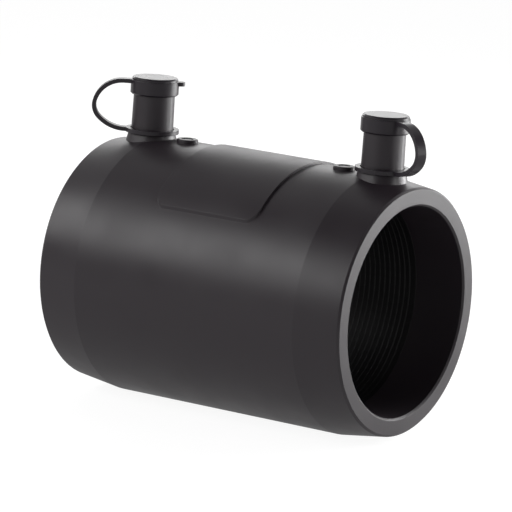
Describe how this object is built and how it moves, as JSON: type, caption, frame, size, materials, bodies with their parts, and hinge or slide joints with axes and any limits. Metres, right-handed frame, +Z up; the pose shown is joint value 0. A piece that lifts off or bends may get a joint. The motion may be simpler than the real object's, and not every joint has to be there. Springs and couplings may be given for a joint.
{
  "type": "electrofusion coupler",
  "caption": "Black plastic electrofusion coupler that welds two pipe ends, with shrouded terminal pins under strapped caps.",
  "frame": {"origin": "centre of the bore, halfway between the two mouths", "axes": "+X along the bore towards the right mouth, +Z up along the terminals"},
  "size_m": [0.1684, 0.112, 0.1382],
  "materials": {
    "body_plastic": "satin black polyethylene, injection moulded",
    "cap_plastic": "satin black soft plastic, injection moulded",
    "pin_metal": "turned brass",
    "coil": "resistance wire wound in a thin layer of black polyethylene",
    "indicator": "satin black polyethylene"
  },
  "bodies": {
    "coupler": {"coupler_body": "body_plastic", "heating_coil": "coil", "terminal_pin_left": "pin_metal", "terminal_pin_right": "pin_metal", "fusion_indicator_left": "indicator", "fusion_indicator_right": "indicator"},
    "cap_left": {"terminal_cap_left": "cap_plastic"},
    "cap_right": {"terminal_cap_right": "cap_plastic"}
  },
  "joints": [
    {"name": "cap_left_pull", "type": "slide", "parent": "coupler", "child": "cap_left", "axis": [0, 0, 1], "range_m": [0, 0.016]},
    {"name": "cap_right_pull", "type": "slide", "parent": "coupler", "child": "cap_right", "axis": [0, 0, 1], "range_m": [0, 0.016]}
  ]
}
